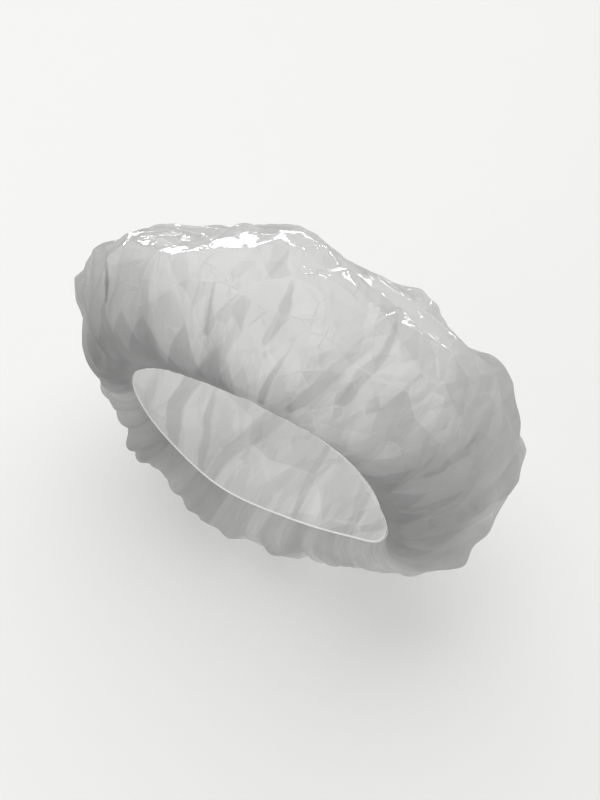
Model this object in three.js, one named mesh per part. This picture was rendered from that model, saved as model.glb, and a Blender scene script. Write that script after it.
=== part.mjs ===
// Waterproof hair cap: a disc of thin clear film, gathered by an elastic hem into a puffed crown that lies on
// its side on the floor. Millimetres and degrees.
// The film is worked out with the crown along +Z and the middle of the mouth at the origin, and the finished
// cap is then laid down with its mouth facing -Y.
import * as THREE from "three";

// Film and hem
const FILM_WALL = 1.2;
const HEM_DIAMETER = 2.2;
const HEM_GAP = 0.3;

// The mouth as the relaxed elastic holds it, how far the lip stands out from it, and the crown's height
const MOUTH_RADIUS = 79;
const LIP_REACH = 14;
const CROWN_RISE = 114;

// How the cap lies: the crown's slope, the side that is down, and the floor's distance from the mouth's middle
const CROWN_SLOPE = 6.7;
const REST_ANGLE = 98.4;
const FLOOR_REACH = 112;
const PRESSED_EDGE = 3;

// Places on the film are an angle around the crown and a level: 0 mouth, 1 lip, 2 belly, 3 top of the crown.
// Angles as the cap lies: about 8 right, 98 on the floor, 188 left, 278 on top.
const LIP_LEVEL = 1;
const BELLY_LEVEL = 2;
const TOP_LEVEL = 3;

// The hem holds the film even up to this level
const HELD_LEVEL = 0.7;

// Facets: rings in each level, and facets around, twice as many below the fine level
const LIP_RINGS = 3;
const UNDER_RINGS = 6;
const CROWN_RINGS = 7;
const FINE_RINGS = 8;
const AROUND = 90;
const AROUND_FINE = 2 * AROUND;
const HEM_SIDES = 6;

// Sections of the puffed film. The lip hangs lipDrop below the mouth, the belly is the widest place, and
// fullness 2 is a round shoulder above it or a round underside below it.
const SECTIONS = [
  { angle: 0, lipDrop: 9, bellyReach: 124, bellyRise: 42, fullness: 2.25, underFullness: 1.7 },
  { angle: 30, lipDrop: 7, bellyReach: 123, bellyRise: 44, fullness: 2.0, underFullness: 2.0 },
  { angle: 60, lipDrop: 4, bellyReach: 120, bellyRise: 44, fullness: 2.0, underFullness: 1.8 },
  { angle: 90, lipDrop: 13, bellyReach: 125, bellyRise: 42, fullness: 2.0, underFullness: 1.7 },
  { angle: 120, lipDrop: 18, bellyReach: 130, bellyRise: 40, fullness: 2.0, underFullness: 1.7 },
  { angle: 150, lipDrop: 12, bellyReach: 131, bellyRise: 40, fullness: 2.0, underFullness: 1.6 },
  { angle: 180, lipDrop: 7, bellyReach: 128, bellyRise: 42, fullness: 2.0, underFullness: 1.4 },
  { angle: 210, lipDrop: 7, bellyReach: 134, bellyRise: 36, fullness: 1.65, underFullness: 1.55 },
  { angle: 240, lipDrop: 4, bellyReach: 131, bellyRise: 38, fullness: 1.6, underFullness: 1.7 },
  { angle: 270, lipDrop: 2, bellyReach: 128, bellyRise: 41, fullness: 1.75, underFullness: 1.8 },
  { angle: 300, lipDrop: 2, bellyReach: 124, bellyRise: 41, fullness: 1.85, underFullness: 1.8 },
  { angle: 330, lipDrop: 4, bellyReach: 126, bellyRise: 42, fullness: 2.1, underFullness: 1.8 },
];

// Gathers: ruffles that the hem draws up, deepest at the lip and gone at the belly
const GATHERS = 36;
const GATHER_DEPTH = 2;
const GATHER_STRAY = 1.3;
const GATHER_UNEVEN = 0.4;
const GATHER_FADE = 1.2;

// Folds run up from the mouth. Each leans over by so many degrees on its way between two levels.
const FOLD_TAPER = 0.3;
const FOLDS = [
  { angle: 35, lean: 6, from: 0.9, to: 2.1, width: 14, depth: 3.5 },
  { angle: 62, lean: -5, from: 0.9, to: 2.0, width: 13, depth: 3 },
  { angle: 124, lean: 7, from: 1.0, to: 2.2, width: 13, depth: 3 },
  { angle: 137, lean: 1, from: 1.2, to: 2.3, width: 14, depth: 3 },
  { angle: 172, lean: 8, from: 0.9, to: 2.2, width: 14, depth: 3.5 },
  { angle: 227, lean: -24, from: 0.5, to: 1.7, width: 13, depth: 5 },
  { angle: 249, lean: -5, from: 0.8, to: 1.8, width: 11, depth: 3 },
  { angle: 260, lean: -4, from: 0.8, to: 2.2, width: 13, depth: 4 },
  { angle: 283, lean: -7, from: 0.8, to: 2.5, width: 15, depth: 5 },
  { angle: 290, lean: 10, from: 0.8, to: 2.2, width: 12, depth: 4 },
  { angle: 305, lean: -2, from: 1.1, to: 2.4, width: 13, depth: 4 },
  { angle: 334, lean: 3, from: 1.6, to: 2.4, width: 13, depth: 3 },
  { angle: 344, lean: 16, from: 0.6, to: 2.1, width: 14, depth: 4.5 },
];

// Dents are round hollows in the puffed film, and those with a depth below 0 are lumps
const DENTS = [
  { angle: 26, level: 1.5, radius: 20, depth: -2 },
  { angle: 60, level: 2.7, radius: 34, depth: 5 },
  { angle: 160, level: 1.25, radius: 12, depth: 4.5 },
  { angle: 175, level: 2.6, radius: 30, depth: 4 },
  { angle: 205, level: 1.1, radius: 20, depth: -3 },
  { angle: 233, level: 2.33, radius: 24, depth: 4 },
  { angle: 255, level: 2.55, radius: 22, depth: -4 },
  { angle: 283, level: 2.6, radius: 26, depth: 3.5 },
  { angle: 334, level: 2.55, radius: 18, depth: 7 },
  { angle: 347, level: 2.45, radius: 18, depth: -5 },
];

const { degToRad, smoothstep } = THREE.MathUtils;

// A section's value at any angle, on a smooth closed curve through the rows
function sectionValue(column, angle) {
  const count = SECTIONS.length;
  const place = THREE.MathUtils.euclideanModulo(angle, 360) / (360 / count);
  const row = Math.floor(place);
  const t = place - row;
  const [a, b, c, d] = [-1, 0, 1, 2].map((k) => SECTIONS[(row + k + count) % count][column]);
  return b + 0.5 * t * (c - a + t * (2 * a - 5 * b + 4 * c - d + t * (3 * (b - c) + d - a)));
}

// A quarter turn between two places of a section. It leaves upright or level, and fullness 2 is an ellipse's.
function quarter(from, to, t, fullness, leavesUpright) {
  const turn = (t * Math.PI) / 2;
  const early = Math.sin(turn) ** (2 / fullness);
  const late = 1 - Math.cos(turn) ** (2 / fullness);
  const [outward, upward] = leavesUpright ? [late, early] : [early, late];
  return new THREE.Vector2(THREE.MathUtils.lerp(from.x, to.x, outward), THREE.MathUtils.lerp(from.y, to.y, upward));
}

// The section at an angle, as the distance out from the crown's axis (x) and up from the mouth (y)
function section(angle, level) {
  const mouth = new THREE.Vector2(MOUTH_RADIUS, 0);
  const lip = new THREE.Vector2(MOUTH_RADIUS + LIP_REACH, -sectionValue("lipDrop", angle));
  const belly = new THREE.Vector2(sectionValue("bellyReach", angle), sectionValue("bellyRise", angle));
  const top = new THREE.Vector2(0, CROWN_RISE);
  if (level < LIP_LEVEL) return quarter(mouth, lip, level, 2, true);
  if (level < BELLY_LEVEL) return quarter(lip, belly, level - LIP_LEVEL, sectionValue("underFullness", angle), false);
  return quarter(belly, top, level - BELLY_LEVEL, sectionValue("fullness", angle), true);
}

// The puffed film before its gathers, folds and dents
function plainFilm(angle, level) {
  const { x: out, y: up } = section(angle, level);
  return new THREE.Vector3(out * Math.cos(degToRad(angle)), out * Math.sin(degToRad(angle)), up);
}

// The outward direction of a surface given by angle and level, from its slopes both ways
function outwardAt(surface, angle, level) {
  const [turn, rise] = [0.4, 0.02];
  if (level > TOP_LEVEL - rise) return new THREE.Vector3(0, 0, 1);
  const around = surface(angle + turn, level).sub(surface(angle - turn, level));
  const along = surface(angle, level + rise).sub(surface(angle, Math.max(level - rise, 0)));
  return around.cross(along).normalize();
}

// How far the ruffles lift the film
function gatherLift(angle, level) {
  const turn = degToRad(angle);
  const reach = 1 - smoothstep(level, GATHER_FADE, BELLY_LEVEL);
  const uneven = 1 - GATHER_UNEVEN * Math.sin(3 * turn + 1) ** 2;
  return GATHER_DEPTH * reach * uneven * Math.cos(GATHERS * turn + GATHER_STRAY * Math.sin(5 * turn));
}

// How far the folds sink the film
function foldDepth(angle, level) {
  const { x: out } = section(angle, level);
  let sunk = 0;
  for (const fold of FOLDS) {
    const share = (level - fold.from) / (fold.to - fold.from);
    const turned = THREE.MathUtils.euclideanModulo(angle - fold.angle - fold.lean * share + 180, 360) - 180;
    const ends = smoothstep(share, 0, FOLD_TAPER) * (1 - smoothstep(share, 1 - FOLD_TAPER, 1));
    const aside = (2 * out * degToRad(turned)) / fold.width;
    sunk += fold.depth * ends * Math.exp(-(aside ** 2));
  }
  return sunk;
}

// How far the dents sink the film
function dentDepth(place) {
  let sunk = 0;
  for (const dent of DENTS) {
    const away = place.distanceTo(plainFilm(dent.angle, dent.level));
    sunk += dent.depth * Math.exp(-((away / dent.radius) ** 2));
  }
  return sunk;
}

// The direction of the floor from the mouth's middle, before the cap is laid down
const TO_FLOOR = new THREE.Vector3(
  Math.cos(degToRad(REST_ANGLE)) * Math.cos(degToRad(CROWN_SLOPE)),
  Math.sin(degToRad(REST_ANGLE)) * Math.cos(degToRad(CROWN_SLOPE)),
  -Math.sin(degToRad(CROWN_SLOPE)),
);

// Presses a place flat against the floor, easing into the flat over the pressed edge
function pressToFloor(place) {
  const height = FLOOR_REACH - place.dot(TO_FLOOR);
  if (height >= PRESSED_EDGE) return place;
  const kept = height <= -PRESSED_EDGE ? 0 : (height + PRESSED_EDGE) ** 2 / (4 * PRESSED_EDGE);
  return place.addScaledVector(TO_FLOOR, height - kept);
}

// The middle of the film's wall, with its gathers, folds and dents, flat where it rests
function film(angle, level) {
  const place = plainFilm(angle, level);
  const free = smoothstep(level, 0, HELD_LEVEL);
  const lift = gatherLift(angle, level) - foldDepth(angle, level) - dentDepth(place);
  return pressToFloor(place.addScaledVector(outwardAt(plainFilm, angle, level), free * lift));
}

// The levels of the rings from the mouth up to the last one below the crown's top
function ringLevels() {
  const counts = [LIP_RINGS, UNDER_RINGS, CROWN_RINGS];
  return counts.flatMap((count, level) => Array.from({ length: count }, (_, ring) => level + ring / count));
}

// Adds one side of the wall, +1 outside or -1 inside, and gives back its lowest ring's corners
function addSide(side, corners, faces) {
  const corner = (angle, level) => {
    const place = film(angle, level).addScaledVector(outwardAt(film, angle, level), (side * FILM_WALL) / 2);
    return corners.push(place) - 1;
  };
  const face = (a, b, c) => faces.push(...(side > 0 ? [a, b, c] : [a, c, b]));
  const rings = ringLevels().map((level, ring) => {
    const around = ring < FINE_RINGS ? AROUND_FINE : AROUND;
    return Array.from({ length: around }, (_, i) => corner((360 * i) / around, level));
  });
  for (let ring = 0; ring + 1 < rings.length; ring++) {
    const [low, high] = [rings[ring], rings[ring + 1]];
    const at = (list, i) => list[i % list.length];
    for (let i = 0; i < high.length; i++) {
      const [h0, h1] = [at(high, i), at(high, i + 1)];
      if (low.length === high.length) {
        face(at(low, i), at(low, i + 1), h1);
        face(at(low, i), h1, h0);
      } else {
        face(at(low, 2 * i), at(low, 2 * i + 1), h0);
        face(at(low, 2 * i + 1), h1, h0);
        face(at(low, 2 * i + 1), at(low, 2 * i + 2), h1);
      }
    }
  }
  const last = rings[rings.length - 1];
  const top = corner(0, TOP_LEVEL);
  last.forEach((low, i) => face(low, last[(i + 1) % last.length], top));
  return rings[0];
}

// The film: an outer and an inner side, joined along the mouth's edge
function filmGeometry() {
  const corners = [];
  const faces = [];
  const outer = addSide(1, corners, faces);
  const inner = addSide(-1, corners, faces);
  outer.forEach((low, i) => {
    const next = (i + 1) % outer.length;
    faces.push(low, inner[next], outer[next], low, inner[i], inner[next]);
  });
  const geometry = new THREE.BufferGeometry().setFromPoints(corners);
  geometry.setIndex(faces);
  geometry.computeVertexNormals();
  return geometry;
}

// The hem lies inside the film's edge, all round the mouth
function hemGeometry() {
  const inset = FILM_WALL / 2 + HEM_GAP + HEM_DIAMETER / 2;
  return new THREE.TorusGeometry(MOUTH_RADIUS - inset, HEM_DIAMETER / 2, HEM_SIDES, AROUND);
}

function piece(name, geometry, material) {
  const mesh = new THREE.Mesh(geometry, new THREE.MeshStandardMaterial(material));
  mesh.name = name;
  return mesh;
}

const cap = new THREE.Group();
cap.add(piece("crown_film", filmGeometry(), { color: 0xd6d8d7, roughness: 0.3, metalness: 0 }));
cap.add(piece("elastic_hem", hemGeometry(), { color: 0xeceeec, roughness: 0.6, metalness: 0 }));

// Laid down: the resting side turns to the floor, then the crown tips over until the mouth faces -Y
const turned = new THREE.Group();
turned.rotation.z = degToRad(90 - REST_ANGLE);
turned.add(cap);
const laid = new THREE.Group();
laid.rotation.x = degToRad(CROWN_SLOPE - 90);
laid.add(turned);

// The origin is on the floor under the middle of the cap
const placed = new THREE.Group();
placed.add(laid);
const box = new THREE.Box3().setFromObject(placed, true);
const middle = box.getCenter(new THREE.Vector3());
laid.position.set(-middle.x, -middle.y, -box.min.z);

export default placed;
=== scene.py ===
# Waterproof hair cap: a disc of thin cloudy film, drawn up by an elastic hem into a puffed crown that lies
# on its side on a pale floor. The film is worked out in millimetres and degrees, as the cap's solids are,
# with the crown along +Z and the middle of the mouth at the origin. It is then laid down and turned to
# metres.
import math

import bpy
import numpy as np
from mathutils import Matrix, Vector
from mathutils.bvhtree import BVHTree
from mathutils.geometry import delaunay_2d_cdt


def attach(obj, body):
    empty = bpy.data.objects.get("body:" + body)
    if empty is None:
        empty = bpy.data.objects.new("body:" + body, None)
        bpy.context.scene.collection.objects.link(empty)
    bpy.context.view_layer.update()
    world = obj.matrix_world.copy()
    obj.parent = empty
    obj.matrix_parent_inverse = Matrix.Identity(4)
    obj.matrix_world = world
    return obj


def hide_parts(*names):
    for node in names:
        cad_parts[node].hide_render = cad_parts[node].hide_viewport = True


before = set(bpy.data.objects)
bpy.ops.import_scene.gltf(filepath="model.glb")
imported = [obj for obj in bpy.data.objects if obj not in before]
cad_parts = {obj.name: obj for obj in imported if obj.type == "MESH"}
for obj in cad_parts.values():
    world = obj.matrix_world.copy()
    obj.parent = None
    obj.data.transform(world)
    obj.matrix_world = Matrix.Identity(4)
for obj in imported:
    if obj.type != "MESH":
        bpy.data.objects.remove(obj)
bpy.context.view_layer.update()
scene = bpy.context.scene
MM = 0.001

# How the cap lies, and where the middle of its mouth is
CROWN_SLOPE = 6.7
REST_ANGLE = 98.4
FLOOR_REACH = 112.0
PRESSED_EDGE = 3.0
FLOOR_CLEAR = 0.3
MOUTH_MIDDLE = np.array([3.20, -49.63, 112.60])

# The mouth as the relaxed elastic holds it, how far the lip stands out from it, and the crown's height
MOUTH_RADIUS = 79.0
LIP_REACH = 14.0
CROWN_RISE = 114.0

# Places on the film are an angle round the crown and a level: 0 mouth, 1 lip, 2 belly, 3 top of the crown.
# Angles as the cap lies: about 8 right, 98 on the floor, 188 left, 278 on top. From the held level down, the
# hem holds the film more and more.
LIP_LEVEL, BELLY_LEVEL, TOP_LEVEL = 1.0, 2.0, 3.0
HELD_LEVEL = 0.7

# Degrees and levels over which the film's slopes are taken, and a length that counts as none
SLOPE_TURN, SLOPE_RISE = 0.4, 0.02
NO_LENGTH = 1e-6

# Sections of the puffed film, one each 30 degrees. Fullness 2 is an ellipse's.
ROUND = 2
SECTION_COLUMNS = ("lip_drop", "belly_reach", "belly_rise", "fullness", "under_fullness", "hem_rise")
SECTIONS = np.array([
    (4.5, 124, 42, 2.25, 1.7, 2.5),
    (7, 123, 44, 2.0, 2.0, 2.5),
    (4, 120, 44, 2.0, 1.8, 6.2),
    (13, 125, 42, 2.0, 1.7, 3.6),
    (18, 130, 40, 2.0, 1.7, -1.5),
    (12, 131, 40, 2.0, 1.6, -0.2),
    (7, 128, 42, 2.0, 1.4, 0.6),
    (8, 134, 36, 1.65, 1.55, 0),
    (7, 131, 38, 1.6, 1.7, 1),
    (3.8, 128, 41, 1.75, 1.8, 2.5),
    (-1.5, 124, 41, 1.85, 1.8, 3.5),
    (-2.5, 126, 42, 2.1, 1.8, 4.5),
])

# Ruffles that the hem draws up, deepest at the lip and shallow on the upper side: how many wide and narrow
# ones, what shares of the depth those have, the level where they start to fade, and the depth's share by
# angle
RUFFLES = 36
NARROW_RUFFLES = 53
WIDE_SHARE, NARROW_SHARE = 0.65, 0.35
RUFFLE_DEPTH = 2.4
RUFFLE_FADE = 1.2
RUFFLE_ANGLES = (0, 30, 60, 100, 150, 200, 230, 260, 330, 360)
RUFFLE_SHARES = (0.05, 0.15, 0.5, 0.6, 0.75, 0.6, 0.2, 0.06, 0.03, 0.05)

# Fine gathers close to the hem, and the levels where they start, are full, fade and end
GATHERS = 148
GATHER_DEPTH = 0.04
GATHER_LEVELS = (0, 0.25, 0.4, 1.1)

# Slow waves that make ruffles and gathers uneven: how far, how many round the cap, where they start
RUFFLE_WANDER = ((2.3, 5, 0), (1.6, 2, 1))
NARROW_WANDER = ((2.9, 4, 2),)
GATHER_WANDER = ((2.1, 7, 0), (1.7, 11, 2))
RUFFLE_FAINT = (0.6, 3, 1)

# Soft folds that run up from the mouth: angle, lean, from level, to level, width, depth
FOLDS = (
    (35, 6, 0.9, 2.1, 14, 3),
    (62, -5, 0.9, 2.0, 13, 2.5),
    (124, 7, 1.0, 2.2, 13, 2.5),
    (137, 1, 1.2, 2.3, 14, 2.5),
    (172, 8, 0.9, 2.2, 14, 3),
    (227, -24, 0.5, 1.7, 13, 4),
    (249, -5, 0.8, 1.8, 11, 2),
    (260, -4, 0.8, 2.2, 13, 2.5),
    (283, -7, 0.8, 2.5, 15, 2.5),
    (290, 10, 0.8, 2.2, 12, 2),
    (305, -2, 1.1, 2.4, 13, 1.5),
    (334, 3, 1.6, 2.4, 13, 2),
    (344, 16, 0.6, 2.1, 14, 3),
)
FOLD_TAPER = 0.3

# Round hollows in the puffed film, lumps where the depth is below 0: angle, level, radius, depth
DENTS = (
    (26, 1.5, 20, -2),
    (60, 2.7, 34, 5),
    (160, 1.25, 12, 4.5),
    (175, 2.6, 30, 4),
    (205, 1.1, 20, -3),
    (233, 2.33, 24, 4),
    (255, 2.55, 22, -4),
    (283, 2.6, 26, 3.5),
    (334, 2.55, 18, 7),
    (347, 2.45, 18, -5),
    (345, 2.68, 10, 3),
    (347, 2.54, 11, -1.5),
    (357, 2.4, 13, -1),
    (9, 2.28, 11, -5.5),
    (22, 1.98, 16, 3),
    (25, 1.76, 12, 4),
    (28, 1.45, 14, 4.5),
    (18, 1.54, 9, -4),
    (17, 1.67, 7, 2.5),
    (357, 2.3, 9, -3),
    (346, 2.5, 13, -2),
    (329, 2.76, 12, -5),
    (322, 2.28, 14, -2),
    (251, 1.88, 18, -2.5),
    (275, 2.53, 14, 2.5),
    (249, 2.38, 10, -2.5),
    (252, 2.5, 9, 2.5),
    (222, 2.49, 9, -2),
    (217, 2.14, 10, 2.5),
    (208, 2.07, 18, -2),
    (200, 1.93, 14, -2.5),
    (180, 1.18, 7, -3),
    (204, 1.74, 12, 1.5),
    (166, 1.27, 10, 2.5),
    (140, 1.08, 14, 2),
    (122, 1.02, 8, -2),
    (155, 1.03, 8, -4.5),
    (148, 0.96, 7, -2.5),
    (107, 1.1, 7, -3),
    (94, 1.03, 6, -3),
    (100, 1.07, 9, 5),
    (81, 1.03, 10, 3.5),
    (42, 1.07, 12, 3),
    (262, 0.9, 20, -1.5),
    (280, 0.9, 20, -1.5),
    (298, 0.9, 20, -1.5),
)

# Pleats, where the film lies folded over itself, as bent bands that run down from the crown. For each the
# height of its edge, how much painted shade darkens the doubled film, from 0 to 1, and then places: angle,
# level, width.
PLEATS = (
    (0.7, 0.32, (
        (277.5, 2.13, 1), (278.3, 2.06, 3), (278.7, 1.94, 6),
        (278.9, 1.8, 8), (279, 1.65, 5), (279.5, 1.5, 1),
    )),
    (0.6, 0.26, (
        (299.5, 2.12, 2), (298.8, 2.03, 7), (297.3, 1.85, 8),
        (295.2, 1.47, 7), (294, 1.29, 6), (292, 1.0, 3),
    )),
    (0.6, 0.34, (
        (303.3, 2.26, 1), (304.2, 2.03, 4), (303, 1.89, 6),
        (302.2, 1.76, 7), (302.7, 1.49, 6), (303, 1.38, 3),
    )),
    (0.5, 0.3, ((262, 1.85, 1), (264, 1.6, 2.5), (265.5, 1.42, 2))),
    (0.5, 0.3, ((226, 1.85, 1), (226.5, 1.7, 2.5), (227, 1.5, 1.5))),
    (0.5, 0.25, ((286, 1.6, 1), (285, 1.4, 3), (284, 1.1, 4), (284, 0.8, 3))),
    (0.6, 0.22, ((140, 2.3, 2), (138, 2.13, 9), (137, 1.91, 12), (134, 1.6, 8), (133, 1.3, 3))),
    (0.5, 0.2, ((134, 2.2, 1), (132, 2.1, 4), (126, 1.74, 7), (124, 1.5, 2))),
    (0.6, 0.18, ((110, 2.5, 2), (114, 2.2, 14), (120, 1.8, 9), (121, 1.5, 3))),
    (0.5, 0.22, ((103, 2.5, 1), (100, 2.3, 3), (97, 1.9, 6), (96, 1.6, 2))),
    (0.5, 0.16, ((90, 2.6, 2), (84, 2.3, 11), (81, 1.8, 5), (80, 1.5, 1))),
    (0.5, 0.14, ((16, 2.4, 1), (20, 2.1, 9), (24, 1.5, 13), (26, 1.0, 5))),
    (0.5, 0.12, ((69, 2.3, 1), (66, 2.0, 10), (62, 1.5, 12), (60, 1.0, 4))),
    (0.5, 0.14, ((162, 2.4, 1), (165, 2.1, 9), (170, 1.5, 13), (172, 1.0, 5))),
    (0.5, 0.12, ((196, 2.4, 1), (200, 2.1, 9), (205, 1.5, 11), (208, 1.0, 5))),
    (0.4, 0.1, ((340, 2.3, 1), (338, 2.1, 6), (336, 1.8, 7), (335, 1.4, 1))),
    (0.4, 0.08, ((326, 2.25, 1), (329, 2.1, 5), (332, 1.9, 5), (333, 1.7, 1))),
)

# A pleat's steep side in millimetres, the share of its length that each end tapers over, and the share of its
# width over which its painted shade grows darker
PLEAT_DROP = 1.0
PLEAT_TAPER = 0.12
PLEAT_SOFT = 0.25

# Creases that stand out in the film, most of them near the knot where they meet: angle and level of one end
# and of the other, half widths on both sides, height
CREASES = (
    (258, 2.42, 279, 2.46, 9, 14, 2.2),
    (284, 2.44, 300, 2.44, 7, 10, 1.8),
    (247, 1.9, 254, 2.3, 10, 6, 2.0),
    (251, 2.2, 247, 2.5, 8, 6, 2.0),
    (266, 2.25, 274, 2.5, 9, 10, 2.0),
    (282, 2.22, 294, 2.4, 8, 6, 1.8),
    (305, 2.2, 316, 2.45, 8, 6, 0.6),
    (322, 1.85, 330, 2.15, 7, 6, 1.2),
    (230, 1.9, 231, 2.3, 8, 8, 1.4),
    (271, 2.4, 280, 2.05, 4, 2.5, 1.0),
    (272.5, 2.38, 273.5, 1.75, 3, 2.5, 0.9),
    (257.5, 2.17, 269, 2.15, 3, 2, 0.8),
    (260.5, 2.23, 268.5, 2.12, 2.5, 2.5, -0.8),
    (281, 2.2, 290, 2.04, 3, 3, -0.9),
    (290, 2.04, 295, 1.93, 3, 3, -0.8),
    (286.5, 2.18, 290, 2.04, 2.5, 2, 0.7),
    (290, 2.04, 289.5, 1.83, 2.5, 2, 0.7),
    (298.5, 2.1, 307, 2.4, 2, 3, 0.8),
    (291, 2.15, 294, 2.07, 2, 2, 0.6),
    (295, 2.2, 293.5, 2.06, 2, 2, 0.6),
    (292.5, 2.12, 296, 2.13, 2, 2, 0.5),
    (315.5, 1.77, 320.5, 1.98, 2.5, 4, 0.8),
    (329, 1.83, 330, 2.0, 2.5, 2.5, 0.8),
    (337, 1.83, 339.5, 2.11, 4, 3, 1.2),
    (311.5, 1.58, 314, 1.68, 3, 2.5, 0.8),
    (227, 1.82, 227.5, 1.5, 2.5, 1.5, -0.9),
    (233, 1.8, 241.5, 1.88, 3, 2, 0.7),
    (262, 1.85, 265, 1.45, 3, 2, -0.8),
    (278, 1.74, 280, 1.55, 2, 2, -0.8),
    (280, 1.57, 284.5, 1.36, 2, 2, -0.8),
)

# The film is folded tight along such a crease, and a line of painted shade runs along it: how far that line
# reaches to both sides, how soon it is at its darkest, and how much darker it is then
FOLD_LINE = 2.2
FOLD_SOON = 1.6
FOLD_PAINTED_SHADE = 0.14

# How much film the hem gathers up into layers, with painted shade that darkens them, from 0 to 1, at levels
# up from the mouth, so darker towards the mouth. Then by angle: what share of that lies there, most at the
# sides of the cap, where the painted shade is darkest, and how much sooner or later the layers end, where
# more than 1 is sooner.
LAYER_AND_SHADE_LEVELS = (0.0, 0.6, 1.2, 1.7, 2.2, 2.6)
LAYERS_AND_PAINTED_SHADE = (0.8, 0.7, 0.55, 0.38, 0.16, 0.0)
SHARE_ANGLES = (0, 30, 70, 100, 150, 180, 215, 245, 280, 305, 335, 360)
LAYER_AND_SHADE_SHARES = (1.5, 0.48, 0.48, 0.42, 0.92, 0.55, 1.75, 1.46, 1.0, 0.55, 1.35, 1.5)
LAYER_AND_SHADE_ENDS = (0.8, 0.9, 0.8, 0.8, 0.75, 0.9, 1.05, 1.15, 1.55, 1.3, 0.82, 0.8)

# Darts, where a gather's doubled film tapers up to a tip, drawn as less clear film with painted shade: angle
# and level of the tip, level of the foot, angles of the foot's two ends, how much darker the painted shade
# makes it
DARTS = (
    (258, 1.48, 1.0, 250.5, 267, 0.2),
    (271, 1.46, 1.05, 262, 277, 0.12),
    (274, 1.3, 1.1, 271, 276, 0.14),
    (277.5, 1.33, 1.1, 275, 281, 0.12),
    (244, 1.46, 1.0, 232, 256, 0.14),
    (237, 1.5, 1.0, 222, 247, 0.12),
    (227, 1.55, 1.0, 212, 236, 0.14),
    (287, 1.52, 1.1, 280, 296, 0.1),
    (296, 1.45, 1.0, 288, 305, 0.1),
    (309, 1.5, 0.9, 301, 318, 0.1),
)
DART_EDGE = 0.6

# The rest of the darts fall by chance: how many, levels of tip and foot, half width of the foot in degrees,
# and how much darker their painted shade makes them
LOOSE_DARTS = 46
LOOSE_TIPS = (1.2, 2.2)
LOOSE_FOOT = 0.9
LOOSE_FEET = (3, 11)
LOOSE_DARKS = (0.03, 0.1)
DART_SEED = 7

# Crinkles: roof-shaped creases left by the packet that the cap was folded in. How many, the levels that they
# lie between, how far they turn from the meridian, half length, half width, and slope of their sides. One
# side is narrower than the other, and where many meet, they rise or sink no further than the most.
CRINKLES = (
    (70, 1.1, 3.0, 38, (25, 62), (9, 22), (0.14, 0.34)),
    (90, 1.1, 3.0, 42, (12, 34), (5, 12), (0.14, 0.32)),
)
CRINKLE_NARROW = (0.35, 1)
CRINKLE_SEED = 5
CRINKLE_MOST = 3.5

# Flat facets between the creases: how far apart their corners are in the flat film, how far these rise or
# sink, and how flat the film lies between them, from 0, as puffed as before, to 1
FACETS = ((38, 3.6, 0.0), (20, 1.7, 0.9))
FACET_SEED = 5

# The facets' net, in facets: how far its corners stray, and how far past the disc it goes. Corners that are
# closer than the slack, in millimetres, are one.
FACET_JITTER = 0.6
NET_MARGIN = 2
NET_SLACK = 1e-4

# The levels over which the facets grow to their full rise, and their share of it below
FACETS_FROM, FACETS_FULL = 1.0, 2.0
FACETS_LEAST = 0.12

# The disc that the film was cut as, six-sided rings of triangles round its middle, and the steps in level and
# angle that the rings are spread by
DISC_SIDES = 6
DISC_RINGS = 180
DISC_RADIUS = 241.5
LEVEL_STEPS = 600
MEAN_TURN = 10.0

# How much of a facet's gloss leans as the whole facet does
FACET_STIFF = 0.85

# Flat shards between straight creases, in metres of the flat film: how far they turn, how long and short they
# are, how far each tilts, how much darker or lighter it is, and how plain the crease round it is, where 0 is
# no crease. A real crease is about 0.1 mm wide. It is drawn six times as wide, so that it shows.
SHARDS = (
    (35, 0.055, 0.024, 0.2, 0.12, 0.8),
    (-40, 0.032, 0.013, 0.07, 0.09, 0.6),
    (100, 0.016, 0.006, 0.03, 0.07, 0.0),
)
CREASE_WIDE = 0.0006
CREASE_HIGH = 0.0008
CREASE_BUMP = 0.7
CREASE_LIGHT = 0.35

# Clouds in the film, in metres: those that break off the creases, and those that make it more or less clear.
# A crease starts and is whole where its cloud has these values.
BREAK_WIDE = 0.03
CLOUD_WIDE = 0.035
BREAK_FROM, BREAK_FULL = 0.48, 0.6

# The values of layers and painted shade over which gathered film is drawn taut, and how much its flats still
# tilt then
TAUT_FROM, TAUT_FULL = 0.15, 0.6
TAUT_TILT = 0.15

# How clear the film is in its thin and thick clouds, what share of that doubled film keeps, and the share of
# scattered light that goes through it
THIN_CLEAR, THICK_CLEAR = 0.28, 0.2
DOUBLED_CLEAR = 0.35
SCATTER_THROUGH = 0.65

# The middle of a noise's or a random colour's range, over which it is stretched
NOISE_LOW, NOISE_HIGH = 0.3, 0.7

# The hem's rolled edge, with ribs that wander and twist a little. Its cover's threads are about 0.3 mm wide,
# and are drawn at 1.5 mm so that they show.
HEM_RADIUS = 77.9
HEM_THICK = 0.5
HEM_RIBS = 250
HEM_RIB_DEPTH = 0.1
HEM_RIB_STEPS = 4
HEM_RIB_WANDER, HEM_RIB_WAVES, HEM_RIB_TWIST = 1.5, 9, 0.8
HEM_SIDES = 10
THREAD_WIDE = 0.0015
THREAD_HIGH = 0.0003

# Soft lights over the cap, in metres and watts: name, place, size, power, and whether it casts a shadow
SOFT_LIGHTS = (
    ("key_above", (-0.5, 1.0, 2.2), 3.4, 39, True),
    ("fill_above", (-0.2, 0.2, 2.4), 1.6, 11, False),
    ("fill_front", (-0.8, -1.4, 1.8), 1.6, 18.5, False),
)
LIGHTS_AIM = Vector((0, 0, 0.1))
SKY_POWER = 0.455
FLOOR_WIDE = 8

# A long strip low behind the cap, which only gloss mirrors: it lights the flat facets along the upper edge
STRIP_PLACE = (-0.9, 1.45, -0.35)
STRIP_LONG, STRIP_HIGH = 2.2, 0.22
STRIP_POWER = 34

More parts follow.
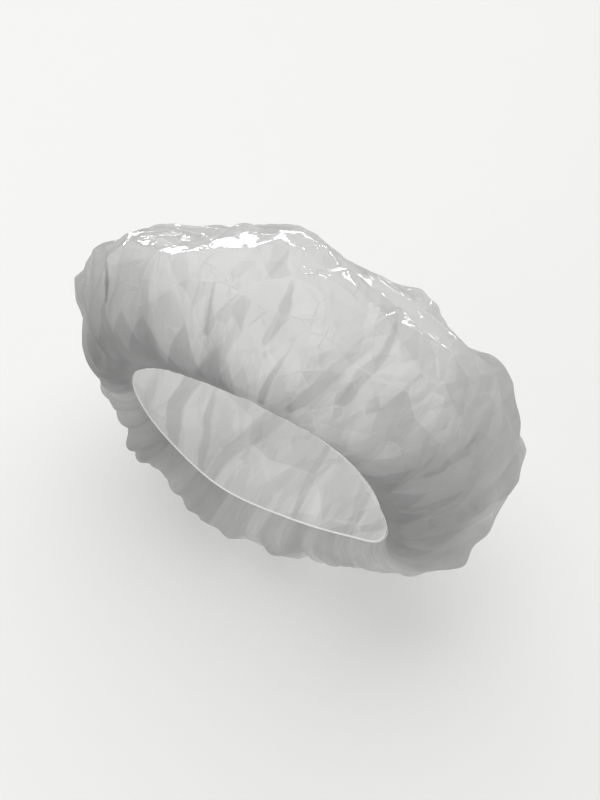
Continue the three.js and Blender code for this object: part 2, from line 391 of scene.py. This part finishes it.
# The photograph's view
VIEW_AZIMUTH = 32.2
VIEW_ELEVATION = 60.0
VIEW_DISTANCE = 1.5
VIEW_TARGET = Vector((0.0036, -0.00877, 0.11492))
VIEW_LENS = 127.1


def smoothstep(x, low, high):
    t = np.clip((x - low) / (high - low), 0, 1)
    return t * t * (3 - 2 * t)


def nearest_turn(angle):
    """The same angle between -180 and 180."""
    return (angle + 180) % 360 - 180


def section_value(column, angle):
    """A section's value at any angle, on a smooth closed curve through the rows."""
    values = SECTIONS[:, SECTION_COLUMNS.index(column)]
    count = len(values)
    place = (angle % 360) / (360 / count)
    row = np.floor(place).astype(int)
    t = place - row
    a, b, c, d = (values[(row + k) % count] for k in (-1, 0, 1, 2))
    return b + 0.5 * t * (c - a + t * (2 * a - 5 * b + 4 * c - d + t * (3 * (b - c) + d - a)))


def quarter(start, end, t, fullness, leaves_upright):
    """A quarter turn between two places of a section."""
    turn = np.clip(t, 0, 1) * np.pi / 2
    early = np.sin(turn) ** (2 / fullness)
    late = 1 - np.clip(np.cos(turn), 0, 1) ** (2 / fullness)
    outward, upward = (late, early) if leaves_upright else (early, late)
    return start[0] + (end[0] - start[0]) * outward, start[1] + (end[1] - start[1]) * upward


def section(angle, level):
    """The distance out from the crown's axis and up from the mouth."""
    mouth = (MOUTH_RADIUS, 0)
    lip = (MOUTH_RADIUS + LIP_REACH, -section_value("lip_drop", angle))
    belly = (section_value("belly_reach", angle), section_value("belly_rise", angle))
    low = quarter(mouth, lip, level, ROUND, True)
    under = quarter(lip, belly, level - LIP_LEVEL, section_value("under_fullness", angle), False)
    crown = quarter(belly, (0, CROWN_RISE), level - BELLY_LEVEL, section_value("fullness", angle), True)
    below_belly = [np.where(level < LIP_LEVEL, a, b) for a, b in zip(low, under)]
    return [np.where(level < BELLY_LEVEL, a, b) for a, b in zip(below_belly, crown)]


def plain_film(angle, level):
    """The puffed film before its ruffles, folds and dents."""
    out, up = section(angle, level)
    turn = np.radians(angle)
    return np.stack([out * np.cos(turn), out * np.sin(turn), up], -1)


def outward(angle, level):
    """The plain film's outward direction, from its slopes both ways."""
    around = plain_film(angle + SLOPE_TURN, level) - plain_film(angle - SLOPE_TURN, level)
    high, low = np.minimum(level + SLOPE_RISE, TOP_LEVEL), np.maximum(level - SLOPE_RISE, 0)
    normal = np.cross(around, plain_film(angle, high) - plain_film(angle, low))
    size = np.linalg.norm(normal, axis=-1, keepdims=True)
    straight_up = np.array([0, 0, 1.0])
    return np.where(size > NO_LENGTH, normal / np.maximum(size, NO_LENGTH), straight_up)


def uneven_waves(count, turn, wander):
    """Waves round the cap whose spacing wanders."""
    strayed = sum(far * np.sin(times * turn + start) for far, times, start in wander)
    return np.cos(count * turn + strayed)


def ruffle_lift(angle, level):
    """How far the ruffles and the fine gathers at the hem lift the film."""
    turn = np.radians(angle)
    loose = np.interp(angle % 360, RUFFLE_ANGLES, RUFFLE_SHARES) * smoothstep(level, 0, HELD_LEVEL)
    most, times, start = RUFFLE_FAINT
    wide = (1 - most * np.sin(times * turn + start) ** 2) * uneven_waves(RUFFLES, turn, RUFFLE_WANDER)
    narrow = uneven_waves(NARROW_RUFFLES, turn, NARROW_WANDER)
    ruffles = (WIDE_SHARE * wide + NARROW_SHARE * narrow) * (1 - smoothstep(level, RUFFLE_FADE, BELLY_LEVEL))
    low, full, fade, high = GATHER_LEVELS
    gathered = smoothstep(level, low, full) * (1 - smoothstep(level, fade, high))
    gathers = gathered * uneven_waves(GATHERS, turn, GATHER_WANDER)
    return RUFFLE_DEPTH * loose * ruffles + GATHER_DEPTH * gathers


def fold_depth(angle, level):
    """How far the soft folds sink the film."""
    out, _ = section(angle, level)
    sunk = np.zeros_like(out)
    for at, lean, low, high, width, depth in FOLDS:
        share = (level - low) / (high - low)
        turned = nearest_turn(angle - at - lean * share)
        ends = smoothstep(share, 0, FOLD_TAPER) * (1 - smoothstep(share, 1 - FOLD_TAPER, 1))
        sunk += depth * ends * np.exp(-(2 * out * np.radians(turned) / width) ** 2)
    return sunk


def dent_depth(place):
    """How far the dents sink the film."""
    sunk = np.zeros(len(place))
    for at, level, radius, depth in DENTS:
        away = np.linalg.norm(place - plain_film(np.array(float(at)), np.array(level)), axis=-1)
        sunk += depth * np.exp(-(away / radius) ** 2)
    return sunk


def pleat_lift(angle, level):
    """The step at each pleat's folded edge, and the painted shade that darkens the doubled film."""
    out, _ = section(angle, level)
    lift = np.zeros_like(out)
    doubled_and_painted_shade = np.zeros_like(out)
    for height, dark, places in PLEATS:
        angles, levels, widths = np.array(places[::-1]).T
        aside = out * np.radians(nearest_turn(angle - np.interp(level, levels, angles)))
        band = np.interp(level, levels, widths)
        share = (level - levels[0]) / (levels[-1] - levels[0])
        ends = smoothstep(share, 0, PLEAT_TAPER) * (1 - smoothstep(share, 1 - PLEAT_TAPER, 1))
        rise = np.clip(aside / band, 0, 1)
        drop = np.clip((band + PLEAT_DROP - aside) / PLEAT_DROP, 0, 1)
        lift += height * ends * rise * drop
        doubled_and_painted_shade = np.maximum(doubled_and_painted_shade, dark * ends * smoothstep(rise, 0, PLEAT_SOFT) * drop)
    return lift, doubled_and_painted_shade


def gathered_layers_and_painted_shade(angle, level):
    """How much the gathered film lies in layers, with painted shade towards the mouth and at the sides, and
    in the darts that its gathers end in.
    """
    ends = np.interp(angle % 360, SHARE_ANGLES, LAYER_AND_SHADE_ENDS)
    shares = np.interp(angle % 360, SHARE_ANGLES, LAYER_AND_SHADE_SHARES)
    layers_and_painted_shade = shares * np.interp(level * ends, LAYER_AND_SHADE_LEVELS, LAYERS_AND_PAINTED_SHADE)
    chance = np.random.default_rng(DART_SEED)
    darts = list(DARTS)
    for _ in range(LOOSE_DARTS):
        tip, left, right = chance.uniform(0, 360), chance.uniform(*LOOSE_FEET), chance.uniform(*LOOSE_FEET)
        high, dark = chance.uniform(*LOOSE_TIPS), chance.uniform(*LOOSE_DARKS)
        darts.append((tip, high, LOOSE_FOOT, tip - left, tip + right, dark))
    for tip, high, low, left, right, dark in darts:
        from_left = nearest_turn(angle - np.interp(level, (low, high), (left, tip)))
        from_right = nearest_turn(np.interp(level, (low, high), (right, tip)) - angle)
        inside = np.clip(np.minimum(from_left, from_right) / DART_EDGE, 0, 1)
        layers_and_painted_shade += dark * inside * (level < high)
    return layers_and_painted_shade


def add_crease(lift, place, ends, normal, left, right, height):
    """Adds a roof-shaped crease with flat sides and sharp edges between two ends to the film's lift."""
    length = np.linalg.norm(ends[1] - ends[0]) / 2
    ridge = (ends[1] - ends[0]) / (2 * length)
    away = place - (ends[0] + ends[1]) / 2
    near = np.linalg.norm(away, axis=1) < length + max(left, right)
    aside = away[near] @ np.cross(normal, ridge)
    roof = 1 - np.abs(away[near] @ ridge) / length - np.maximum(aside / left, -aside / right)
    lift[near] += height * np.maximum(roof, 0)


def crease_lift(place):
    """The creases that stand out, and the painted shade along them, where the film is folded tight."""
    lift = np.zeros(len(place))
    folds_and_painted_shade = np.zeros(len(place))
    for first, low, last, high, left, right, height in CREASES:
        ends = plain_film(np.array([first, last]), np.array([low, high]))
        normal = outward(np.array([(first + last) / 2]), np.array([(low + high) / 2]))[0]
        add_crease(lift, place, ends, normal, left, right, height)
        line = np.zeros(len(place))
        add_crease(line, place, ends, normal, FOLD_LINE, FOLD_LINE, FOLD_SOON)
        folds_and_painted_shade = np.maximum(folds_and_painted_shade, FOLD_PAINTED_SHADE * np.minimum(line, 1))
    return lift, folds_and_painted_shade


def crinkle_lift(place):
    """Crinkles scattered over the film."""
    lift = np.zeros(len(place))
    chance = np.random.default_rng(CRINKLE_SEED)
    for count, low, high, spread, lengths, widths, slopes in CRINKLES:
        for _ in range(count):
            at, level = chance.uniform(0, 360, 1), chance.uniform(low, high, 1)
            turn = math.radians(spread) * chance.normal()
            wide = chance.uniform(*widths)
            left, right = chance.permutation((wide, wide * chance.uniform(*CRINKLE_NARROW)))
            height = min(left, right) * chance.uniform(*slopes) * chance.choice((-1, 1))
            normal = outward(at, level)[0]
            above, below = np.minimum(level + SLOPE_RISE, TOP_LEVEL), level - SLOPE_RISE
            rise = (plain_film(at, above) - plain_film(at, below))[0]
            ridge = math.cos(turn) * rise + math.sin(turn) * np.cross(rise, normal)
            reach = chance.uniform(*lengths) * ridge / np.linalg.norm(rise)
            middle = plain_film(at, level)[0]
            add_crease(lift, place, (middle - reach, middle + reach), normal, left, right, height)
    return lift


def facet_net(chance, spacing):
    """A net of corners scattered over the flat film, and the triangles between them."""
    edge = DISC_RADIUS + NET_MARGIN * spacing
    steps = np.arange(-edge, edge, spacing)
    grid = np.stack(np.meshgrid(steps, steps), -1).reshape(-1, 2)
    corners = grid + chance.uniform(-FACET_JITTER, FACET_JITTER, grid.shape) * spacing
    flat, _, triangles, *_ = delaunay_2d_cdt([Vector(c) for c in corners], [], [], 0, NET_SLACK)
    return np.array(flat), np.array(triangles)


def facet_shares(corners, triangles, cut):
    """The facet that each place of the flat film lies in, and its nearness to that facet's corners."""
    net = BVHTree.FromPolygons([(x, y, 0) for x, y in corners], triangles.tolist())
    above, down = 1.0, Vector((0, 0, -1))
    facet = np.array([net.ray_cast(Vector((x, y, above)), down)[2] for x, y in cut])
    a, b, c = (corners[triangles[facet, k]] - cut for k in range(3))
    shares = np.stack([np.cross(b, c), np.cross(c, a), np.cross(a, b)], -1)
    return triangles[facet], shares / shares.sum(1, keepdims=True)


def crumple(cut, level, plain, normal):
    """How flat facets between creases move the puffed film, and which of the smallest each place is in."""
    chance = np.random.default_rng(FACET_SEED)
    shift = np.zeros_like(plain)
    for spacing, most, flatness in FACETS:
        corners, triangles = facet_net(chance, spacing)
        facet, shares = facet_shares(corners, triangles, cut)
        rises = chance.uniform(-most, most, len(corners))
        shift += (rises[facet] * shares).sum(1)[:, None] * normal
        corner_ring = np.linalg.norm(corners, axis=1) / DISC_RADIUS * DISC_RINGS
        corner_angle = np.degrees(np.arctan2(corners[:, 1], corners[:, 0]))
        held = plain_film(corner_angle, ring_levels(corner_ring))
        shift += flatness * ((held[facet] * shares[:, :, None]).sum(1) - plain)
        number = np.unique(facet, axis=0, return_inverse=True)[1].reshape(-1)
    free = FACETS_LEAST + (1 - FACETS_LEAST) * smoothstep(level, FACETS_FROM, FACETS_FULL)
    return shift * free[:, None], number


def facet_leans(place, faces, number):
    """The mean direction of each facet, at each corner of the disc."""
    a, b, c = (place[faces[:, k]] for k in range(3))
    leans = np.zeros((number.max() + 1, 3))
    np.add.at(leans, number[faces[:, 0]], np.cross(b - a, c - a))
    leans /= np.linalg.norm(leans, axis=1, keepdims=True)
    return leans[number]


def press_to_floor(place):
    """Presses places flat against the floor, easing into the flat over the pressed edge."""
    slope, rest = math.radians(CROWN_SLOPE), math.radians(REST_ANGLE)
    sideways = math.cos(slope)
    to_floor = np.array([math.cos(rest) * sideways, math.sin(rest) * sideways, -math.sin(slope)])
    height = FLOOR_REACH - place @ to_floor
    eased = (height + PRESSED_EDGE) ** 2 / (4 * PRESSED_EDGE)
    kept = np.where(height >= PRESSED_EDGE, height, np.where(height <= -PRESSED_EDGE, 0, eased))
    return place + (height - kept)[:, None] * to_floor


def lay_down(place):
    """Turns the resting side to the floor, tips the crown over, and gives metres."""
    spin = math.radians(90 - REST_ANGLE)
    tip = math.radians(90 - CROWN_SLOPE)
    x = place[:, 0] * math.cos(spin) - place[:, 1] * math.sin(spin)
    y = place[:, 0] * math.sin(spin) + place[:, 1] * math.cos(spin)
    z = place[:, 2]
    turned = [x, y * math.cos(tip) + z * math.sin(tip), z * math.cos(tip) - y * math.sin(tip)]
    return (np.stack(turned, -1) + MOUTH_MIDDLE) * MM


def disc_rings():
    """The ring of each corner of the flat disc, its angle, and the triangles between the corners."""
    rings = np.arange(1, DISC_RINGS + 1)
    ring = np.concatenate([[0], np.repeat(rings, DISC_SIDES * rings)])
    first = np.concatenate([[0], 1 + DISC_SIDES * rings * (rings - 1) // 2])
    place = np.arange(len(ring)) - first[ring]
    angle = np.where(ring > 0, 360 / DISC_SIDES * place / np.maximum(ring, 1), 0)
    faces = []
    for k in rings:
        outer, inner = DISC_SIDES * k, max(DISC_SIDES * (k - 1), 1)
        j = np.arange(outer)
        side, step = j // k, j % k
        a, b = first[k] + j, first[k] + (j + 1) % outer
        c = first[k - 1] + (side * (k - 1) + step) % inner
        faces.append(np.stack([a, b, c], -1))
        d = first[k - 1] + (side * (k - 1) + step + 1) % inner
        faces.append(np.stack([b, d, c], -1)[step < k - 1])
    return ring, angle, np.concatenate(faces)


def ring_levels(ring):
    """The level of each ring, so that rings are even steps along the crown's mean section."""
    level = np.linspace(0, TOP_LEVEL, LEVEL_STEPS + 1)
    angles = np.arange(0, 360, MEAN_TURN)
    path = plain_film(*np.meshgrid(angles, level, indexing="ij"))
    steps = np.linalg.norm(np.diff(path, axis=1), axis=-1).mean(0)
    along = np.concatenate([[0], np.cumsum(steps)])
    return np.interp(along[-1] * (1 - ring / DISC_RINGS), along, level)


def make_film():
    ring, angle, faces = disc_rings()
    level = ring_levels(ring)
    free = smoothstep(level, 0, HELD_LEVEL)
    normal = outward(angle, level)
    pleats, doubled_and_painted_shade = pleat_lift(angle, level)
    plain = plain_film(angle, level)
    sunk = free * (fold_depth(angle, level) + dent_depth(plain))
    puffed = press_to_floor(plain + (ruffle_lift(angle, level) - sunk)[:, None] * normal)
    flat = DISC_RADIUS * ring / DISC_RINGS
    turn = np.radians(angle)
    cut = np.stack([flat * np.cos(turn), flat * np.sin(turn)], -1)
    creases, crease_painted_shade = crease_lift(plain)
    crinkles = CRINKLE_MOST * np.tanh((creases + crinkle_lift(plain)) / CRINKLE_MOST)
    crumpled, facets = crumple(cut, level, plain, normal)
    laid = puffed + free[:, None] * ((pleats + crinkles)[:, None] * normal + crumpled)
    laid[:, 2] += section_value("hem_rise", angle) * (1 - free)
    place = lay_down(laid)
    place[:, 2] = np.maximum(place[:, 2], FLOOR_CLEAR * MM)
    mesh = bpy.data.meshes.new("crinkled_film")
    mesh.from_pydata(place.tolist(), [], faces.tolist())
    mesh.shade_smooth()
    # Layers that make the film less clear, and painted shade along pleats, creases and darts, near the mouth
    # and sides
    layers_and_painted_shade = mesh.attributes.new("doubled_and_painted_shade", "FLOAT", "POINT")
    folds_and_painted_shade = np.clip(doubled_and_painted_shade + crease_painted_shade + gathered_layers_and_painted_shade(angle, level), 0, 1)
    layers_and_painted_shade.data.foreach_set("value", folds_and_painted_shade.astype(np.float32))
    leans = mesh.attributes.new("facet_lean", "FLOAT_VECTOR", "POINT")
    leans.data.foreach_set("vector", facet_leans(place, faces, facets).astype(np.float32).ravel())
    uv = mesh.uv_layers.new(name="flat_cut")
    uv.data.foreach_set("uv", (MM * cut[faces]).astype(np.float32).ravel())
    film = bpy.data.objects.new("crinkled_film", mesh)
    scene.collection.objects.link(film)
    return film


def make_hem():
    """The film's edge rolled round the elastic, ribbed by the gathers that it draws up."""
    around = HEM_RIBS * HEM_RIB_STEPS
    i, j = np.meshgrid(np.arange(around), np.arange(HEM_SIDES), indexing="ij")
    turn = 2 * np.pi * i / around
    tilt = 2 * np.pi * j / HEM_SIDES
    strayed = HEM_RIB_WANDER * np.sin(HEM_RIB_WAVES * turn) + HEM_RIB_TWIST * np.sin(tilt)
    ribs = np.cos(HEM_RIBS * turn + strayed)
    thick = HEM_THICK + HEM_RIB_DEPTH * ribs
    out = HEM_RADIUS + thick * np.cos(tilt)
    up = thick * np.sin(tilt) + section_value("hem_rise", np.degrees(turn))
    place = np.stack([out * np.cos(turn), out * np.sin(turn), up], -1).reshape(-1, 3)
    number = i * HEM_SIDES + j
    next_i = np.roll(number, -1, axis=0)
    next_j = np.roll(number, -1, axis=1)
    both = np.roll(next_i, -1, axis=1)
    faces = np.stack([number, next_i, both, next_j], -1).reshape(-1, 4)
    mesh = bpy.data.meshes.new("rolled_hem")
    mesh.from_pydata(lay_down(place).tolist(), [], faces.tolist())
    mesh.shade_smooth()
    hem = bpy.data.objects.new("rolled_hem", mesh)
    scene.collection.objects.link(hem)
    return hem


def hex_colour(text):
    """Linear colour of an sRGB hex value."""
    parts = [int(text[k:k + 2], 16) / 255 for k in (0, 2, 4)]
    return [c / 12.92 if c <= 0.04045 else ((c + 0.055) / 1.055) ** 2.4 for c in parts] + [1.0]


def add_node(tree, kind, settings=None, inputs=None, links=None):
    """Adds a node, sets its settings and inputs, and links its inputs to other nodes' outputs."""
    node = tree.nodes.new(kind)
    for name, value in (settings or {}).items():
        setattr(node, name, value)
    for name, value in (inputs or {}).items():
        node.inputs[name].default_value = value
    for name, output in (links or {}).items():
        tree.links.new(output, node.inputs[name])
    return node


def new_material(name):
    material = bpy.data.materials.new(name)
    material.use_nodes = True
    material.node_tree.nodes.clear()
    return material, material.node_tree


def stiff_facets(tree, lean, calm):
    """Turns the gloss to each facet's mean direction, on whichever side the facet is seen from."""
    facets = add_node(tree, "ShaderNodeAttribute", {"attribute_name": "facet_lean"}).outputs["Vector"]
    agrees = add_node(tree, "ShaderNodeVectorMath", {"operation": "DOT_PRODUCT"}, {}, {0: facets, 1: lean})
    side = add_node(tree, "ShaderNodeMath", {"operation": "SIGN"}, {}, {0: agrees.outputs["Value"]})
    shown = add_node(
        tree, "ShaderNodeVectorMath", {"operation": "SCALE"}, {}, {0: facets, "Scale": side.outputs["Value"]},
    )
    bend = add_node(
        tree, "ShaderNodeVectorMath", {"operation": "SUBTRACT"}, {}, {0: shown.outputs["Vector"], 1: lean},
    )
    stiff = add_node(tree, "ShaderNodeMath", {"operation": "MULTIPLY"}, {1: FACET_STIFF}, {0: calm})
    turned = add_node(
        tree, "ShaderNodeVectorMath", {"operation": "MULTIPLY_ADD"}, {},
        {0: bend.outputs["Vector"], 1: stiff.outputs["Value"], 2: lean},
    )
    return turned.outputs["Vector"]


def flat_shards(tree, cut, lean, layers_and_painted_shade, calm):
    """Tilts each shard's gloss, makes it darker or lighter, and draws the creases between shards."""
    creases = None
    for turn, long, short, tilt, backing, line in SHARDS:
        laid = add_node(
            tree, "ShaderNodeMapping", {"vector_type": "TEXTURE"},
            {"Rotation": (0, 0, math.radians(turn)), "Scale": (long, short, 1)}, {"Vector": cut},
        ).outputs["Vector"]
        chance = add_node(tree, "ShaderNodeTexVoronoi", {}, {"Scale": 1.0}, {"Vector": laid}).outputs["Color"]
        middle = add_node(
            tree, "ShaderNodeVectorMath", {"operation": "SUBTRACT"}, {1: (0.5, 0.5, 0.5)}, {0: chance},
        )
        amount = add_node(tree, "ShaderNodeMath", {"operation": "MULTIPLY"}, {1: tilt}, {0: calm})
        tilted = add_node(
            tree, "ShaderNodeVectorMath", {"operation": "MULTIPLY_ADD"}, {},
            {0: middle.outputs["Vector"], 1: amount.outputs["Value"], 2: lean},
        )
        lean = add_node(
            tree, "ShaderNodeVectorMath", {"operation": "NORMALIZE"}, {}, {0: tilted.outputs["Vector"]},
        ).outputs["Vector"]
        backed = add_node(
            tree, "ShaderNodeMapRange", {},
            {"From Min": NOISE_LOW, "From Max": NOISE_HIGH, "To Min": -backing, "To Max": backing},
            {"Value": chance},
        )
        layers_and_painted_shade = add_node(
            tree, "ShaderNodeMath", {"operation": "MULTIPLY_ADD"}, {},
            {0: backed.outputs["Result"], 1: calm, 2: layers_and_painted_shade},
        ).outputs["Value"]
        if line == 0:
            continue
        edges = add_node(
            tree, "ShaderNodeTexVoronoi", {"feature": "DISTANCE_TO_EDGE"}, {"Scale": 1.0}, {"Vector": laid},
        )
        drawn = add_node(
            tree, "ShaderNodeMapRange", {},
            {"From Min": 0.0, "From Max": CREASE_WIDE / short, "To Min": line, "To Max": 0.0},
            {"Value": edges.outputs["Distance"]},
        ).outputs["Result"]
        creases = drawn if creases is None else add_node(
            tree, "ShaderNodeMath", {"operation": "MAXIMUM"}, {}, {0: creases, 1: drawn},
        ).outputs["Value"]
    return lean, layers_and_painted_shade, creases


def broken_creases(tree, cut, creases, calm):
    """Keeps each crease only where its cloud does, and fainter in taut film."""
    broken = add_node(
        tree, "ShaderNodeTexNoise", {}, {"Scale": 1 / BREAK_WIDE, "Detail": 1.0}, {"Vector": cut},
    )
    kept = add_node(
        tree, "ShaderNodeMapRange", {},
        {"From Min": BREAK_FROM, "From Max": BREAK_FULL, "To Min": 0.0, "To Max": 1.0},
        {"Value": broken.outputs["Fac"]},
    )
    some = add_node(
        tree, "ShaderNodeMath", {"operation": "MULTIPLY"}, {}, {0: kept.outputs["Result"], 1: calm},
    )
    crease = add_node(
        tree, "ShaderNodeMath", {"operation": "MULTIPLY"}, {}, {0: creases, 1: some.outputs["Value"]},
    )
    return crease.outputs["Value"]


def film_material():
    # Blown low-density polyethylene film, cloudy and soft: it lets some light straight through, scatters the
    # rest, and has a sharp gloss on each small flat between its creases. Doubled film is more solid, and its
    # darker tint is painted shade.
    material, tree = new_material("cloudy_polyethylene_film")
    cut = add_node(tree, "ShaderNodeUVMap", {"uv_map": "flat_cut"}).outputs["UV"]
    doubled_and_painted_shade = add_node(tree, "ShaderNodeAttribute", {"attribute_name": "doubled_and_painted_shade"}).outputs["Fac"]
    # The elastic draws the gathered film taut, so the flats tilt less where the layers and painted shade are
    calm = add_node(
        tree, "ShaderNodeMapRange", {},
        {"From Min": TAUT_FROM, "From Max": TAUT_FULL, "To Min": 1.0, "To Max": TAUT_TILT},
        {"Value": doubled_and_painted_shade},
    ).outputs["Result"]
    smooth = add_node(tree, "ShaderNodeNewGeometry").outputs["Normal"]
    lean, layers_and_painted_shade, creases = flat_shards(tree, cut, stiff_facets(tree, smooth, calm), doubled_and_painted_shade, calm)
    crease = broken_creases(tree, cut, creases, calm)
    creased = add_node(
        tree, "ShaderNodeBump", {}, {"Strength": CREASE_BUMP, "Distance": CREASE_HIGH},
        {"Height": crease, "Normal": lean},
    ).outputs["Normal"]
    # A crease is lighter than the film beside it
    solid_and_painted_shade = add_node(
        tree, "ShaderNodeMath", {"operation": "MULTIPLY_ADD", "use_clamp": True}, {1: -CREASE_LIGHT},
        {0: crease, 2: layers_and_painted_shade},
    ).outputs["Value"]
    cloud = add_node(
        tree, "ShaderNodeTexNoise", {}, {"Scale": 1 / CLOUD_WIDE, "Detail": 4.0}, {"Vector": cut},
    )
    see = add_node(
        tree, "ShaderNodeMapRange", {},
        {"From Min": NOISE_LOW, "From Max": NOISE_HIGH, "To Min": THIN_CLEAR, "To Max": THICK_CLEAR},
        {"Value": cloud.outputs["Fac"]},
    )
    thin = add_node(
        tree, "ShaderNodeMapRange", {},
        {"From Min": 0.0, "From Max": 1.0, "To Min": 1.0, "To Max": DOUBLED_CLEAR}, {"Value": solid_and_painted_shade},
    )
    clear = add_node(
        tree, "ShaderNodeMath", {"operation": "MULTIPLY"}, {},
        {0: see.outputs["Result"], 1: thin.outputs["Result"]},
    )
    # The darker tint is painted shade, where the film is doubled, creased, near the mouth or at the sides
    tint = add_node(
        tree, "ShaderNodeMix", {"data_type": "RGBA"}, {"A": hex_colour("ececec"), "B": hex_colour("8e8e8e")},
        {"Factor": solid_and_painted_shade},
    ).outputs["Result"]
    gloss = add_node(
        tree, "ShaderNodeBsdfPrincipled", {},
        {"Roughness": 0.3, "IOR": 1.51, "Coat Weight": 1.0, "Coat Roughness": 0.05, "Coat IOR": 1.51},
        {"Base Color": tint, "Normal": creased, "Coat Normal": creased},
    )
    glow = add_node(tree, "ShaderNodeBsdfTranslucent", {}, {}, {"Color": tint, "Normal": creased})
    body = add_node(
        tree, "ShaderNodeMixShader", {}, {"Fac": SCATTER_THROUGH},
        {1: gloss.outputs["BSDF"], 2: glow.outputs["BSDF"]},
    )
    through = add_node(tree, "ShaderNodeBsdfTransparent", {}, {"Color": hex_colour("fcfcfc")})
    mixed = add_node(
        tree, "ShaderNodeMixShader", {}, {},
        {"Fac": clear.outputs["Value"], 1: body.outputs["Shader"], 2: through.outputs["BSDF"]},
    )
    add_node(tree, "ShaderNodeOutputMaterial", {}, {}, {"Surface": mixed.outputs["Shader"]})
    return material


def hem_material():
    # Film welded over white covered elastic: many layers together look solid, white and softly shiny.
    material, tree = new_material("film_over_covered_elastic")
    place = add_node(tree, "ShaderNodeTexCoord").outputs["Object"]
    thread = add_node(
        tree, "ShaderNodeTexNoise", {}, {"Scale": 1 / THREAD_WIDE, "Detail": 2.0}, {"Vector": place},
    ).outputs["Fac"]
    shade = add_node(
        tree, "ShaderNodeMix", {"data_type": "RGBA"}, {"A": hex_colour("e4e5e4"), "B": hex_colour("f4f5f4")},
        {"Factor": thread},
    )
    bump = add_node(
        tree, "ShaderNodeBump", {}, {"Strength": 0.4, "Distance": THREAD_HIGH}, {"Height": thread},
    )
    body = add_node(
        tree, "ShaderNodeBsdfPrincipled", {}, {"Roughness": 0.45, "IOR": 1.5},
        {"Base Color": shade.outputs["Result"], "Normal": bump.outputs["Normal"]},
    )
    add_node(tree, "ShaderNodeOutputMaterial", {}, {}, {"Surface": body.outputs["BSDF"]})
    return material


def floor_material():
    # Matt studio paper, even and pale.
    material, tree = new_material("matt_studio_paper")
    body = add_node(
        tree, "ShaderNodeBsdfPrincipled", {}, {"Base Color": hex_colour("dededc"), "Roughness": 0.9},
    )
    add_node(tree, "ShaderNodeOutputMaterial", {}, {}, {"Surface": body.outputs["BSDF"]})
    return material


def make_floor():
    bpy.ops.object.select_all(action="DESELECT")
    bpy.ops.mesh.primitive_plane_add(size=FLOOR_WIDE)
    floor = bpy.context.object
    floor.name = "studio_floor"
    floor.data.materials.append(floor_material())
    # Kept out of the gloss, where it would hide the strip light that is below it
    floor.visible_glossy = False


def add_light(name, place, size, power):
    bpy.ops.object.light_add(type="AREA", location=place)
    light = bpy.context.object
    light.name = name
    light.data.shape = "DISK"
    light.data.size = size
    light.data.energy = power
    light.rotation_euler = (Vector(place) - LIGHTS_AIM).to_track_quat("Z", "Y").to_euler()
    light.visible_camera = False
    return light


def make_lights():
    for name, place, size, power, shadow in SOFT_LIGHTS:
        light = add_light(name, place, size, power)
        light.visible_glossy = False
        light.data.use_shadow = shadow
    strip = add_light("strip_behind", STRIP_PLACE, STRIP_LONG, STRIP_POWER)
    strip.data.shape = "RECTANGLE"
    strip.data.size_y = STRIP_HIGH
    strip.visible_diffuse = False
    strip.visible_transmission = False
    world = bpy.data.worlds.new("pale_studio")
    world.use_nodes = True
    sky = world.node_tree.nodes["Background"]
    sky.inputs["Color"].default_value = (1.0, 1.0, 1.0, 1.0)
    sky.inputs["Strength"].default_value = SKY_POWER
    scene.world = world
    scene.view_settings.view_transform = "Standard"


def make_camera():
    azimuth, elevation = math.radians(VIEW_AZIMUTH), math.radians(VIEW_ELEVATION)
    level = math.cos(elevation)
    back = Vector((math.sin(azimuth) * level, -math.cos(azimuth) * level, math.sin(elevation)))
    bpy.ops.object.camera_add(location=VIEW_TARGET + VIEW_DISTANCE * back)
    camera = bpy.context.object
    camera.rotation_euler = back.to_track_quat("Z", "Y").to_euler()
    camera.data.lens = VIEW_LENS
    scene.camera = camera


make_camera()
make_lights()
make_floor()

film = make_film()
film.data.materials.append(film_material())
hem = make_hem()
hem.data.materials.append(hem_material())

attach(film, "root")
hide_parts("crown_film")
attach(hem, "root")
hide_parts("elastic_hem")
